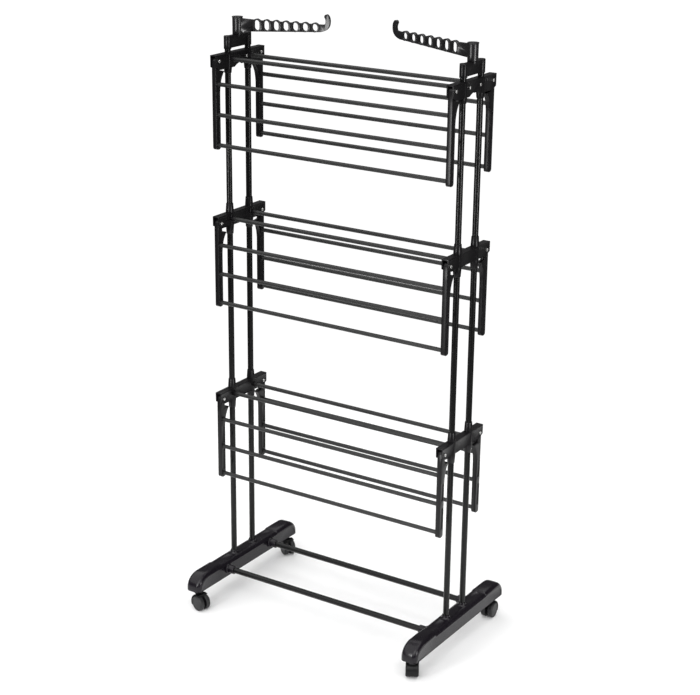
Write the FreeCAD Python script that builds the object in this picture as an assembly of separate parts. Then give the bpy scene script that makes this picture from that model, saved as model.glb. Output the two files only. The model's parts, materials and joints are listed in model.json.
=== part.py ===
import FreeCAD, Part
import math
import os

# Three-tier rolling clothes drying rack. Millimetres, +Z up, +X along the hanging rods.
# The origin is on the floor, in the middle of the rack.

# Overall layout
end_spacing = 700.0  # between the two planes of uprights
tier_heights = {"bottom": 592.0, "middle": 1091.0, "top": 1518.0}  # fixed rod axes above the floor
tiers = ["bottom", "middle", "top"]
ends = {"left": -1, "right": 1}
sides = {"front": -1, "back": 1}
end_x = end_spacing / 2.0
reach = 500.0  # longer than any piece that is cut through

# Fits
running_fit = 0.08  # radial, for pins and posts that turn
close_fit = 0.05  # radial, for tubes and rods in their sockets
moving_gap = 0.35  # between faces that slide past each other

# Uprights and the joiners inside them
upright_diameter = 16.0
upright_radius = upright_diameter / 2.0
upright_wall = 1.2
upright_offset = 43.7  # from the middle of the rack to each upright, in Y
upright_above_top_tier = 55.0
joiner_wall = 1.0
joiner_length = 80.0

# Hanging rods
rod_diameter = 11.0
rod_radius = rod_diameter / 2.0
rod_wall = 0.6
fixed_rod_offset = {"bottom": 45.0, "middle": 45.0, "top": 38.5}
wing_rod_drops = [59.0, 139.0, 219.0]  # below the hinge
wing_rod_outset = 3.0  # outside the hinge, so that a lowered wing leans home

# Wing arms
arm_width = 13.0
arm_rod_cover = 3.5  # arm left outside and inside its rods
arm_outer = wing_rod_outset + rod_radius + arm_rod_cover  # outer face from the hinge
arm_inner = rod_radius + arm_rod_cover - wing_rod_outset  # inner face from the hinge
arm_top_radius = arm_outer - 1.5
arm_below_last_rod = 12.0
arm_corner = 7.0
arm_socket_depth = 8.0
gusset_reach = 18.0  # inwards from the arm's inner face
gusset_top = 28.0
gusset_length = 55.0
gusset_lift = 2.0  # how far its top edge climbs towards the arm
gusset_bow = 0.7  # share of the gusset's reach that is left at its fullest curve
arm_panel_depth = 1.5
arm_panel_margin = 3.5

# Wing hinges
hinge_offset = 92.0  # from the middle of the rack, in Y
hinge_rise = {"bottom": -3.0, "middle": -3.0, "top": 1.0}  # against the fixed rod axes
hinge_pin_diameter = 5.0
hinge_head_diameter = hinge_pin_diameter + 3.5
hinge_head_height = 2.0
pin_head_taper = 0.68  # a head's flat top, as a share of its diameter

# Tier brackets
bracket_wall = 3.0
bracket_side_gap = 0.5  # on each side of a wing arm
bracket_width = arm_width + 2 * (bracket_side_gap + bracket_wall)
bracket_top_plate = 3.0
bracket_roof_gap = 1.0  # above a raised arm
bracket_rise = hinge_rise["top"] + arm_outer + bracket_roof_gap + bracket_top_plate  # above the fixed rod axes
bracket_drop = {"bottom": 17.0, "middle": 17.0, "top": 22.0}
bracket_half_length = hinge_offset + arm_outer + 2.0
bracket_pocket_gap = 4.0  # inwards of an arm's round top
bracket_end_lift = 8.0  # how far the lower edge climbs at each end
bracket_end_slope = 18.0
bracket_rib = 4.0
arch_half_width = 26.0
arch_height = 9.0
collar_radius = upright_radius + 3.0
collar_tip_radius = upright_radius + 1.5
collar_straight = 20.0
collar_reach = {"bottom": [42.0, 42.0], "middle": [42.0, 42.0], "top": [36.0, 17.0]}  # below, above
rod_socket_radius = rod_radius + 1.5
rod_socket_length = 12.0
bracket_bolt_diameter = 4.0
bracket_bolt_offset = 26.0
bracket_bolt_head = bracket_bolt_diameter + 3.5
bracket_bolt_head_height = 2.4

# Heads
head_bottom = 26.0  # above the top tier's rod axes
head_top = 60.0
head_socket_diameter = upright_diameter + 4.0
head_plate_thickness = 14.0
head_plate_gap = 2.0  # plate above the socket's lower edge and below its top
head_panel_depth = 2.0
head_panel_margin = 3.5
head_disc_thickness = 6.0

# Hanger arms, with the screws and caps that hold them
screw_head_diameter = 20.0
screw_head_height = 3.0
screw_shank_diameter = 5.0
screw_shank_length = 18.0
post_diameter = 16.0
post_top = 92.0
counterbore_diameter = screw_head_diameter + 2.0
hub_diameter = counterbore_diameter + 5.0
hub_top = 101.0
hub_groove_height = 77.0
hub_groove_depth = 0.8
hub_groove_width = 1.2
cap_diameter = hub_diameter + 3.0
cap_thickness = 3.5
cap_round = 1.0
cap_spigot = 2.0
hanger_angles = {"left": 7.4, "right": 166.75}  # at rest, from +X
blade_thickness = 8.0
blade_bottom_at_hub = 65.8
blade_bottom_slope = 0.0668
blade_root_top = 99.5
blade_in_hub = 4.0  # how far the blade runs into the hub
slot_count = 7
slot_first = 58.5
slot_pitch = 27.95
slot_half_width = 8.75
slot_half_height = 13.5
slot_half_height_step = 0.7
slot_centre = 86.1
slot_centre_slope = 0.0382
slot_rim = 3.1
web_below_rim = 4.0
hook_reach = 269.0
hook_top = 128.0
hook_start = 243.0

# Casters
caster_offset = 214.0
caster_angles = {  # direction of the trail, from +X
    ("left", "front"): -16.0,
    ("left", "back"): -32.0,
    ("right", "front"): 120.0,
    ("right", "back"): 275.0,
}
wheel_diameter = 44.0
wheel_radius = wheel_diameter / 2.0
wheel_width = 13.5
wheel_face = 3.0  # wall that closes the outer end of a wheel's bore
wheel_outer_round = 4.5
wheel_inner_round = 1.5
wheel_gap = 0.5
caster_trail = 14.0
caster_plate = 7.0
caster_plate_inset = 4.0  # plate inside the wheels' rims
hood_gap = 1.5
hood_thickness = 2.5
hood_low = 12.0  # lower edge above the floor, on the leading side
hood_past_axle = 7.0
caster_neck = 11.0  # from the hood's top to the foot
axle_diameter = 6.0
axle_end_gap = 0.5
stem_diameter = 9.0
stem_length = 28.0
stem_end_gap = 0.5
stem_collar_diameter = stem_diameter + 11.0
stem_socket_radius = stem_diameter / 2.0 + 3.5

# Feet, covers and base bars
foot_bottom = wheel_diameter + hood_gap + hood_thickness + caster_neck
foot_height = 44.0
foot_top = foot_bottom + foot_height
foot_width = 47.0
foot_half_length = 240.0
foot_wall = 3.0
foot_shoulder = 13.0
foot_nose_length = 45.0
foot_nose_height = 38.0
foot_plan_corner = 16.0
foot_end_start = 136.0  # where the raised ends begin, in Y
foot_end_rise = 2.5
cover_thickness = 3.0
cover_inset = 0.2
base_bar_diameter = 16.0
base_bar_radius = base_bar_diameter / 2.0
base_bar_wall = 1.0
base_bar_rise = 22.0  # above the foot's lower edge
base_bar_height = foot_bottom + base_bar_rise
base_bar_offset = 102.0
base_bar_in_foot = 18.0
bar_socket_radius = base_bar_radius + 3.5
bar_socket_length = 22.0
upright_in_foot = 37.0
foot_socket_radius = upright_radius + 3.5
foot_collar_radius = upright_radius + 6.0
foot_collar_tip = upright_radius + 2.0
foot_collar_height = 9.0

X = FreeCAD.Vector(1, 0, 0)
Y = FreeCAD.Vector(0, 1, 0)
Z = FreeCAD.Vector(0, 0, 1)


def point(x, y, z):
    return FreeCAD.Vector(x, y, z)


def rod(radius, length, start, direction=Z):
    return Part.makeCylinder(radius, length, start, direction)


def tube(radius, wall, length, start, direction=Z):
    return rod(radius, length, start, direction).cut(rod(radius - wall, length, start, direction))


def block(low, high):
    size = high.sub(low)
    return Part.makeBox(size.x, size.y, size.z, low)


def prism(steps, direction):
    """A solid from a closed outline. A step is a point, or a pair of points for an arc."""
    edges = []
    here = steps[0]
    for step in steps[1:] + [steps[0]]:
        if isinstance(step, tuple):
            edges.append(Part.Arc(here, step[0], step[1]).toShape())
            here = step[1]
        elif step.distanceToPoint(here) > 1e-6:
            edges.append(Part.LineSegment(here, step).toShape())
            here = step
    return Part.Face(Part.Wire(edges)).extrude(direction)


def turned(shape, angle, centre=FreeCAD.Vector(0, 0, 0), axis=Z):
    copy = shape.copy()
    copy.rotate(centre, axis, angle)
    return copy


def moved(shape, x, y, z):
    copy = shape.copy()
    copy.translate(point(x, y, z))
    return copy


def mirrored(shape, normal):
    return shape.mirror(point(0, 0, 0), normal)


def joined(shapes):
    result = shapes[0].fuse(shapes[1:]) if len(shapes) > 1 else shapes[0]
    return result.removeSplitter()


def save(name, shapes):
    solids = []
    for shape in shapes:
        solids += shape.Solids
    shape = solids[0] if len(solids) == 1 else Part.makeCompound(solids)
    shape.exportStep("parts/" + name + ".step")
    print(name, len(solids), "solids", round(shape.Volume / 1000.0, 2), "cm3", "valid", shape.isValid())


# ---------------------------------------------------------------- tier brackets

def bracket_outline(tier, half_width):
    """The bracket's side view, as a prism of the given half width about X = 0."""
    low = -bracket_drop[tier]
    far = bracket_half_length
    steps = [
        point(-half_width, -far, bracket_rise),
        point(-half_width, -far, low + bracket_end_lift),
        point(-half_width, -far + bracket_end_slope, low),
    ]
    if tier == "top":
        steps += [
            point(-half_width, -arch_half_width, low),
            (point(-half_width, 0, low + arch_height), point(-half_width, arch_half_width, low)),
        ]
    steps += [
        point(-half_width, far - bracket_end_slope, low),
        point(-half_width, far, low + bracket_end_lift),
        point(-half_width, far, bracket_rise),
    ]
    return prism(steps, point(2 * half_width, 0, 0))


def collar(tier, y):
    """A sleeve round one upright, tapered towards its free ends."""
    below, above = collar_reach[tier]
    straight_low = -min(collar_straight, below)
    straight_high = min(collar_straight, above)
    pieces = [rod(collar_radius, straight_high - straight_low, point(0, y, straight_low))]
    if below > collar_straight:
        pieces.append(Part.makeCone(collar_tip_radius, collar_radius, below - collar_straight, point(0, y, -below)))
    if above > collar_straight:
        pieces.append(
            Part.makeCone(collar_radius, collar_tip_radius, above - collar_straight, point(0, y, straight_high))
        )
    return joined(pieces)


def tier_bracket(tier):
    """The right-hand bracket, with the fixed rods entering from -X. The left one is its mirror image."""
    half_width = bracket_width / 2.0
    inside = half_width - bracket_wall
    roof = bracket_rise - bracket_top_plate
    pocket_end = hinge_offset - arm_top_radius - bracket_pocket_gap
    body = bracket_outline(tier, half_width)
    hollows = [block(point(-inside, -pocket_end + bracket_rib, -reach), point(inside, pocket_end - bracket_rib, roof))]
    for side in sides.values():
        near, far = sorted([side * pocket_end, side * reach])
        hollows.append(block(point(-inside, near, -reach), point(inside, far, roof)))
    body = body.cut(joined(hollows[:1])).cut(hollows[1]).cut(hollows[2])
    additions = [collar(tier, side * upright_offset) for side in sides.values()]
    for side in sides.values():
        start = point(-half_width - rod_socket_length, side * fixed_rod_offset[tier], 0)
        additions.append(rod(rod_socket_radius, rod_socket_length + bracket_wall, start, X))
    body = body.fuse(additions)
    for side in sides.values():
        bore = rod(upright_radius + close_fit, 2 * reach, point(0, side * upright_offset, -reach))
        body = body.cut(bore)
        socket = point(-half_width - rod_socket_length, side * fixed_rod_offset[tier], 0)
        body = body.cut(rod(rod_radius + close_fit, rod_socket_length, socket, X))
        pin_start = point(-reach, side * hinge_offset, hinge_rise[tier])
        body = body.cut(rod(hinge_pin_diameter / 2.0, 2 * reach, pin_start, X))
        if tier == "top":
            bolt_start = point(-reach, side * bracket_bolt_offset, 0)
            body = body.cut(rod(bracket_bolt_diameter / 2.0, 2 * reach, bolt_start, X))
    return body.removeSplitter()


def headed_pin(diameter, head_diameter, head_height):
    """A pin along X through the bracket, with a low domed head at each end."""
    half_width = bracket_width / 2.0
    pin = rod(diameter / 2.0, bracket_width, point(-half_width, 0, 0), X)
    head_radius = head_diameter / 2.0
    heads = []
    for end in ends.values():
        start = point(end * half_width, 0, 0)
        heads.append(Part.makeCone(head_radius, head_radius * pin_head_taper, head_height, start, X * end))
    return joined([pin] + heads)


def build_brackets():
    for tier in tiers:
        bracket = tier_bracket(tier)
        for end, sign in ends.items():
            copy = bracket if sign > 0 else mirrored(bracket, X)
            save(tier + "_bracket_" + end, [moved(copy, sign * end_x, 0, tier_heights[tier])])


def build_fasteners():
    pin = headed_pin(hinge_pin_diameter, hinge_head_diameter, hinge_head_height)
    pins = []
    for tier in tiers:
        for sign in ends.values():
            for side in sides.values():
                height = tier_heights[tier] + hinge_rise[tier]
                pins.append(moved(pin, sign * end_x, side * hinge_offset, height))
    save("hinge_pins", pins)
    bolt = headed_pin(bracket_bolt_diameter, bracket_bolt_head, bracket_bolt_head_height)
    bolts = []
    for sign in ends.values():
        for side in sides.values():
            bolts.append(moved(bolt, sign * end_x, side * bracket_bolt_offset, tier_heights["top"]))
    save("bracket_bolts", bolts)


# ---------------------------------------------------------------- uprights and rods

def build_uprights():
    floor_end = foot_top - upright_in_foot
    top_end = tier_heights["top"] + upright_above_top_tier
    levels = [floor_end, tier_heights["bottom"], tier_heights["middle"], top_end]
    for index, section in enumerate(["lower", "middle", "upper"]):
        low = levels[index]
        length = levels[index + 1] - low
        for end, sign in ends.items():
            tubes = []
            for side in sides.values():
                start = point(sign * end_x, side * upright_offset, low)
                tubes.append(tube(upright_radius, upright_wall, length, start))
            save(section + "_uprights_" + end, tubes)
    joiners = []
    joiner_radius = upright_radius - upright_wall - close_fit
    for tier in ["bottom", "middle"]:
        for sign in ends.values():
            for side in sides.values():
                start = point(sign * end_x, side * upright_offset, tier_heights[tier] - joiner_length / 2.0)
                joiners.append(tube(joiner_radius, joiner_wall, joiner_length, start))
    save("upright_joiners", joiners)


def build_fixed_rods():
    half_length = end_x - bracket_width / 2.0
    for tier in tiers:
        rods = []
        for side in sides.values():
            start = point(-half_length, side * fixed_rod_offset[tier], tier_heights[tier])
            rods.append(tube(rod_radius, rod_wall, 2 * half_length, start, X))
        save(tier + "_fixed_rods", rods)


# ---------------------------------------------------------------- wings

def wing_arm():
    """The right-hand arm of a back wing, hanging from its hinge at the origin. Its rods leave towards -X."""
    half_width = arm_width / 2.0
    low = -(wing_rod_drops[-1] + arm_below_last_rod)
    gusset_low = -(gusset_top + gusset_length)
    mid_y = -arm_inner - gusset_reach * (1 - gusset_bow)
    mid_z = -gusset_top - gusset_length * 0.42
    corner = arm_corner * (1 - math.sqrt(0.5))
    x = -half_width
    steps = [
        point(x, arm_outer, 0),
        point(x, arm_outer, low + arm_corner),
        (point(x, arm_outer - corner, low + corner), point(x, arm_outer - arm_corner, low)),
        point(x, -arm_inner + arm_corner, low),
        (point(x, -arm_inner + corner, low + corner), point(x, -arm_inner, low + arm_corner)),
        point(x, -arm_inner, gusset_low),
        (point(x, mid_y, mid_z), point(x, -arm_inner - gusset_reach, -gusset_top - gusset_lift)),
        point(x, -arm_inner - gusset_reach, -gusset_top),
        point(x, -arm_inner, -gusset_top + gusset_lift),
        point(x, -arm_inner, -arm_top_radius),
        point(x, -arm_top_radius, -arm_inner),
        (point(x, 0, arm_top_radius), point(x, arm_top_radius, 2.0)),
    ]
    arm = prism(steps, point(arm_width, 0, 0))
    for face in (-1, 1):
        near, far = sorted([face * (half_width - arm_panel_depth), face * half_width])
        for upper, lower in zip(wing_rod_drops[:-1], wing_rod_drops[1:]):
            panel_low = point(near, -arm_inner + arm_panel_margin, -lower + rod_radius + arm_panel_margin)
            panel_high = point(far, arm_outer - arm_panel_margin, -upper - rod_radius - arm_panel_margin)
            arm = arm.cut(block(panel_low, panel_high))
    arm = arm.cut(rod(hinge_pin_diameter / 2.0 + running_fit, arm_width, point(x, 0, 0), X))
    for drop in wing_rod_drops:
        arm = arm.cut(rod(rod_radius + close_fit, arm_socket_depth, point(x, wing_rod_outset, -drop), X))
    return arm


def build_wings():
    arm = wing_arm()
    rod_half_length = end_x - arm_width / 2.0 + arm_socket_depth
    for tier in tiers:
        height = tier_heights[tier] + hinge_rise[tier]
        for side, facing in sides.items():
            name = tier + "_" + side
            for end, sign in ends.items():
                copy = arm if sign > 0 else mirrored(arm, X)
                copy = copy if facing > 0 else mirrored(copy, Y)
                save(name + "_arm_" + end, [moved(copy, sign * end_x, facing * hinge_offset, height)])
            rods = []
            for drop in wing_rod_drops:
                y = facing * (hinge_offset + wing_rod_outset)
                rods.append(tube(rod_radius, rod_wall, 2 * rod_half_length, point(-rod_half_length, y, height - drop), X))
            save(name + "_rods", rods)


# ---------------------------------------------------------------- heads and hanger arms

def head():
    """The block that ties the tops of two uprights, with the post that a hanger arm turns on."""
    half = head_plate_thickness / 2.0
    low = head_bottom + head_plate_gap
    high = head_top - head_plate_gap / 2.0
    plate = block(point(-half, -upright_offset, low), point(half, upright_offset, high))
    panel_end = upright_offset - head_socket_diameter / 2.0 - head_panel_margin
    for face in (-1, 1):
        near, far = sorted([face * (half - head_panel_depth), face * half])
        panel_low = point(near, -panel_end, low + head_panel_margin)
        panel_high = point(far, panel_end, high - head_disc_thickness - head_panel_margin)
        plate = plate.cut(block(panel_low, panel_high))
    pieces = [plate]
    for side in sides.values():
        start = point(0, side * upright_offset, head_bottom)
        pieces.append(rod(head_socket_diameter / 2.0, head_top - head_bottom, start))
    pieces.append(rod(hub_diameter / 2.0, head_disc_thickness, point(0, 0, head_top - head_disc_thickness)))
    pieces.append(rod(post_diameter / 2.0, post_top - head_top, point(0, 0, head_top)))
    body = joined(pieces)
    for side in sides.values():
        start = point(0, side * upright_offset, head_bottom)
        body = body.cut(rod(upright_radius + close_fit, upright_above_top_tier - head_bottom, start))
    return body.cut(rod(screw_shank_diameter / 2.0, screw_shank_length, point(0, 0, post_top - screw_shank_length)))


def slot_shape(along, centre, half_width, half_height):
    """An upright slot with round ends, through the blade at the given distance along the arm."""
    y = -blade_thickness
    straight = max(half_height - half_width, 0.05)
    steps = [
        point(along - half_width, y, centre - straight),
        (point(along, y, centre - straight - half_width), point(along + half_width, y, centre - straight)),
        point(along + half_width, y, centre + straight),
        (point(along, y, centre + straight + half_width), point(along - half_width, y, centre + straight)),
    ]
    return prism(steps, point(0, 2 * blade_thickness, 0))


def slot_place(index):
    along = slot_first + index * slot_pitch
    centre = slot_centre + slot_centre_slope * (along - slot_first)
    return along, centre, slot_half_height - index * slot_half_height_step


def hanger_arm():
    """The arm along +X, turning about Z. Heights are above the top tier's rod axes."""
    hub_radius = hub_diameter / 2.0
    hub_bottom = head_top + moving_gap
    root = hub_radius - blade_in_hub
    y = -blade_thickness / 2.0
    first = slot_place(0)
    last = slot_place(slot_count - 1)
    web_first = first[1] + first[2] + slot_rim - web_below_rim
    web_last = last[1] + last[2] + slot_rim - web_below_rim
    bottom_end = blade_bottom_at_hub + blade_bottom_slope * hook_start
    tip = hook_top - 4.5
    blade = prism([
        point(root, y, blade_bottom_at_hub + blade_bottom_slope * root),
        point(hook_start, y, bottom_end),
        (point(hook_reach - 6.5, y, bottom_end + 9.5), point(hook_reach, y, bottom_end + 27.0)),
        (point(hook_reach - 2.0, y, hook_top - 9.0), point(hook_reach - 8.5, y, hook_top - 0.5)),
        (point(hook_reach - 14.5, y, hook_top - 0.8), point(hook_reach - 16.5, y, tip - 1.5)),
        (point(hook_reach - 11.6, y, tip - 11.0), point(hook_reach - 13.0, y, tip - 20.5)),
        (point(hook_reach - 16.5, y, web_last + 1.0), point(hook_reach - 22.5, y, web_last)),
        point(last[0], y, web_last),
        point(first[0], y, web_first),
        point(first[0] - slot_half_width - 6.0, y, blade_root_top),
        point(root, y, blade_root_top + 0.8),
    ], point(0, blade_thickness, 0))
    rims = []
    for index in range(slot_count):
        along, centre, half_height = slot_place(index)
        rim = slot_shape(along, centre, slot_half_width + slot_rim, half_height + slot_rim)
        rims.append(rim.common(block(point(0, y, 0), point(reach, -y, reach))))
    hub = rod(hub_radius, hub_top - hub_bottom, point(0, 0, hub_bottom))
    body = blade.fuse(rims + [hub])
    for index in range(slot_count):
        along, centre, half_height = slot_place(index)
        body = body.cut(slot_shape(along, centre, slot_half_width, half_height))
    groove = tube(hub_radius + 1.0, 1.0 + hub_groove_depth, hub_groove_width, point(0, 0, hub_groove_height))
    blade_room = block(point(0, y, 0), point(reach, -y, reach))
    body = body.cut(groove.cut(blade_room))
    body = body.cut(rod(post_diameter / 2.0 + running_fit, reach, point(0, 0, 0)))
    body = body.cut(rod(counterbore_diameter / 2.0, reach, point(0, 0, post_top - moving_gap)))
    return body.removeSplitter()


def hanger_cap():
    disc = rod(cap_diameter / 2.0, cap_thickness, point(0, 0, hub_top))
    rim = [edge for edge in disc.Edges if edge.BoundBox.ZMin > hub_top + cap_thickness - 0.01]
    disc = disc.makeFillet(cap_round, rim)
    spigot = rod(counterbore_diameter / 2.0 - close_fit, cap_spigot, point(0, 0, hub_top - cap_spigot))
    return joined([disc, spigot])


def hanger_screw():
    head_disc = rod(screw_head_diameter / 2.0, screw_head_height, point(0, 0, post_top))
    shank = rod(screw_shank_diameter / 2.0, screw_shank_length, point(0, 0, post_top - screw_shank_length))
    return joined([head_disc, shank])


def build_heads():
    block_shape = head()
    arm = hanger_arm()
    cap = hanger_cap()
    screw = hanger_screw()
    height = tier_heights["top"]
    for end, sign in ends.items():
        save("head_" + end, [moved(block_shape, sign * end_x, 0, height)])
        save("hanger_arm_" + end, [moved(turned(arm, hanger_angles[end]), sign * end_x, 0, height)])
        save("hanger_cap_" + end, [moved(cap, sign * end_x, 0, height)])
    save("hanger_screws", [moved(screw, sign * end_x, 0, height) for sign in ends.values()])


# ---------------------------------------------------------------- feet and base bars

def foot_solid(inset, low, top):
    """A foot's rounded outer form up to the given top, or with an inset the hollow inside it."""
    half_length = foot_half_length - inset
    half_width = foot_width / 2.0 - inset
    high = top - inset
    nose = foot_nose_length - inset
    drop = foot_nose_height - inset
    bend = math.sqrt(0.5)
    side_view = prism([
        point(-reach, -half_length, low),
        point(-reach, half_length, low),
        point(-reach, half_length, high - drop),
        (
            point(-reach, half_length - nose * (1 - bend), high - drop * (1 - bend)),
            point(-reach, half_length - nose, high),
        ),
        point(-reach, -half_length + nose, high),
        (
            point(-reach, -half_length + nose * (1 - bend), high - drop * (1 - bend)),
            point(-reach, -half_length, high - drop),
        ),
    ], point(2 * reach, 0, 0))
    radius = max(foot_shoulder - inset, 1.0)
    cut_in = radius * (1 - bend)
    end_view = prism([
        point(-half_width, -reach, low),
        point(half_width, -reach, low),
        point(half_width, -reach, high - radius),
        (point(half_width - cut_in, -reach, high - cut_in), point(half_width - radius, -reach, high)),
        point(-half_width + radius, -reach, high),
        (point(-half_width + cut_in, -reach, high - cut_in), point(-half_width, -reach, high - radius)),
    ], point(0, 2 * reach, 0))
    corner = max(foot_plan_corner - inset, 1.0)
    notch = corner * (1 - bend)
    plan = prism([
        point(-half_width, -half_length + corner, low),
        (point(-half_width + notch, -half_length + notch, low), point(-half_width + corner, -half_length, low)),
        point(half_width - corner, -half_length, low),
        (point(half_width - notch, -half_length + notch, low), point(half_width, -half_length + corner, low)),
        point(half_width, half_length - corner, low),
        (point(half_width - notch, half_length - notch, low), point(half_width - corner, half_length, low)),
        point(-half_width + corner, half_length, low),
        (point(-half_width + notch, half_length - notch, low), point(-half_width, half_length - corner, low)),
    ], point(0, 0, high - low))
    return side_view.common(end_view).common(plan)


def foot():
    """The right-hand foot's upper shell about X = 0, with its base bars entering from -X."""
    half_width = foot_width / 2.0
    middle = block(point(-reach, -foot_end_start, 0), point(reach, foot_end_start, reach))
    outside = foot_solid(0, foot_bottom, foot_top + foot_end_rise).cut(
        middle.cut(foot_solid(0, foot_bottom, foot_top))
    )
    shell = outside.cut(foot_solid(foot_wall, foot_bottom - 1.0, foot_top))
    core = foot_solid(foot_wall / 2.0, foot_bottom + cover_thickness + 1.0, foot_top)
    socket_low = foot_top - upright_in_foot
    additions = []
    for side in sides.values():
        y = side * upright_offset
        socket = rod(foot_socket_radius, reach, point(0, y, socket_low - foot_wall))
        additions.append(socket.common(core))
        additions.append(Part.makeCone(foot_collar_radius, foot_collar_tip, foot_collar_height, point(0, y, foot_top - 0.5)))
        bar_start = point(-half_width - bar_socket_length, side * base_bar_offset, base_bar_height)
        additions.append(rod(bar_socket_radius, bar_socket_length + base_bar_in_foot + foot_wall, bar_start, X))
        boss = rod(stem_socket_radius, reach, point(0, side * caster_offset, foot_bottom))
        additions.append(boss.common(core))
    body = shell.fuse(additions)
    for side in sides.values():
        body = body.cut(rod(upright_radius + close_fit, reach, point(0, side * upright_offset, socket_low)))
        bar_start = point(-half_width - bar_socket_length, side * base_bar_offset, base_bar_height)
        body = body.cut(rod(base_bar_radius + close_fit, bar_socket_length + base_bar_in_foot, bar_start, X))
        stem_start = point(0, side * caster_offset, 0)
        body = body.cut(rod(stem_diameter / 2.0 + running_fit, foot_bottom + stem_length + stem_end_gap, stem_start))
    return body.removeSplitter()


def foot_cover():
    """The plate that closes a foot from below, flush with its lower edge."""
    low = foot_bottom
    plate = foot_solid(foot_wall + cover_inset, low, foot_top).common(
        block(point(-reach, -reach, low), point(reach, reach, low + cover_thickness))
    )
    for side in sides.values():
        plate = plate.cut(rod(stem_diameter / 2.0 + running_fit + moving_gap, reach, point(0, side * caster_offset, 0)))
    return plate


def build_base():
    shell = foot()
    cover = foot_cover()
    for end, sign in ends.items():
        copy = shell if sign > 0 else mirrored(shell, X)
        save("foot_" + end, [moved(copy, sign * end_x, 0, 0)])
        save("foot_cover_" + end, [moved(cover, sign * end_x, 0, 0)])
    half_length = end_x - foot_width / 2.0 + base_bar_in_foot
    bars = []
    for side in sides.values():
        start = point(-half_length, side * base_bar_offset, base_bar_height)
        bars.append(tube(base_bar_radius, base_bar_wall, 2 * half_length, start, X))
    save("base_bars", bars)


# ---------------------------------------------------------------- casters

def caster_housing():
    """The fork of a twin-wheel caster under its stem at the origin, trailing towards +X."""
    hood_inner = wheel_radius + hood_gap
    hood_outer = hood_inner + hood_thickness
    half_plate = caster_plate / 2.0
    half_width = half_plate + wheel_gap + wheel_width
    plate_start = point(caster_trail, -half_plate, wheel_radius)
    hood_start = point(caster_trail, -half_width, wheel_radius)
    plate = rod(wheel_radius - caster_plate_inset, caster_plate, plate_start, Y)
    hood_room = block(
        point(-reach, -reach, hood_low),
        point(caster_trail + hood_past_axle, reach, wheel_radius + hood_outer + 1.0),
    )
    spine = rod(hood_outer, caster_plate, plate_start, Y).common(hood_room)
    wheels_room = rod(hood_inner, 2 * half_width, hood_start, Y)
    hood = rod(hood_outer, 2 * half_width, hood_start, Y).cut(wheels_room).common(hood_room)
    collar_low = wheel_radius + hood_inner - 2.0
    collar_top = foot_bottom - moving_gap
    neck = rod(stem_collar_diameter / 2.0, collar_top - collar_low, point(0, 0, collar_low))
    plate_room = block(point(-reach, -half_plate, -reach), point(reach, half_plate, reach))
    neck = neck.cut(wheels_room.cut(plate_room))
    stem = rod(stem_diameter / 2.0, stem_length + moving_gap, point(0, 0, collar_top))
    body = plate.fuse([spine, hood, neck, stem])
    axle_start = point(caster_trail, -reach / 2.0, wheel_radius)
    return body.cut(rod(axle_diameter / 2.0, reach, axle_start, Y)).removeSplitter()


def caster_wheels():
    """Two wheels side by side on one axle, with closed outer faces."""
    wheels = []
    for side in (-1, 1):
        inner = side * (caster_plate / 2.0 + wheel_gap)
        outer = inner + side * wheel_width
        start = point(caster_trail, inner, wheel_radius)
        wheel = rod(wheel_radius, wheel_width, start, Y * side)
        outer_rim = [edge for edge in wheel.Edges if abs(edge.BoundBox.YMin - outer) + edge.BoundBox.YLength < 0.01]
        wheel = wheel.makeFillet(wheel_outer_round, outer_rim)
        inner_rim = [edge for edge in wheel.Edges if abs(edge.BoundBox.YMin - inner) + edge.BoundBox.YLength < 0.01]
        wheel = wheel.makeFillet(wheel_inner_round, inner_rim)
        wheels.append(wheel.cut(rod(axle_diameter / 2.0 + running_fit, wheel_width - wheel_face, start, Y * side)))
    return wheels


def caster_axle():
    half_length = caster_plate / 2.0 + wheel_gap + wheel_width - wheel_face - axle_end_gap
    return rod(axle_diameter / 2.0, 2 * half_length, point(caster_trail, -half_length, wheel_radius), Y)


def build_casters():
    housing = caster_housing()
    wheels = caster_wheels()
    axle = caster_axle()
    for (end, side), angle in caster_angles.items():
        name = "caster_" + side + "_" + end
        x = ends[end] * end_x
        y = sides[side] * caster_offset
        save(name + "_housing", [moved(turned(housing, angle), x, y, 0)])
        save(name + "_axle", [moved(turned(axle, angle), x, y, 0)])
        save(name + "_wheels", [moved(turned(wheel, angle), x, y, 0) for wheel in wheels])


os.makedirs("parts", exist_ok=True)
build_base()
build_casters()
build_uprights()
build_brackets()
build_fixed_rods()
build_fasteners()
build_wings()
build_heads()
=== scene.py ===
import json
import math

import bmesh
import bpy
from mathutils import Matrix, Vector


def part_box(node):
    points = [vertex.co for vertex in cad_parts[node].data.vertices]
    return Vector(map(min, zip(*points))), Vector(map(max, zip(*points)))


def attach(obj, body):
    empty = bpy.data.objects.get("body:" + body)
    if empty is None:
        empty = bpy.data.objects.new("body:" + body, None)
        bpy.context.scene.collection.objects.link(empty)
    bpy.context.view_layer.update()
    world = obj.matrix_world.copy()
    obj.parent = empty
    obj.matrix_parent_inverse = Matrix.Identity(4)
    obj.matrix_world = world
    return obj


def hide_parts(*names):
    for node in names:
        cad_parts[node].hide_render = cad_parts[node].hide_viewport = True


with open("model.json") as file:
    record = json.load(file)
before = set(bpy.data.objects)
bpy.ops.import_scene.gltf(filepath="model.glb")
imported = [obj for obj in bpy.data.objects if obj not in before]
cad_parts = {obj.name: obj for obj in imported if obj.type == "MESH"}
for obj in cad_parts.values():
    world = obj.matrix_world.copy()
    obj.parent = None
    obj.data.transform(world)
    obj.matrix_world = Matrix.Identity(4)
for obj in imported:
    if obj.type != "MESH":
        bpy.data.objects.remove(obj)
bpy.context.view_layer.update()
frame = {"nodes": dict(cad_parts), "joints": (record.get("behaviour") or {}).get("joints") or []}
nodes = frame["nodes"]
print("frame loaded:", len(nodes), "nodes")

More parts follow.
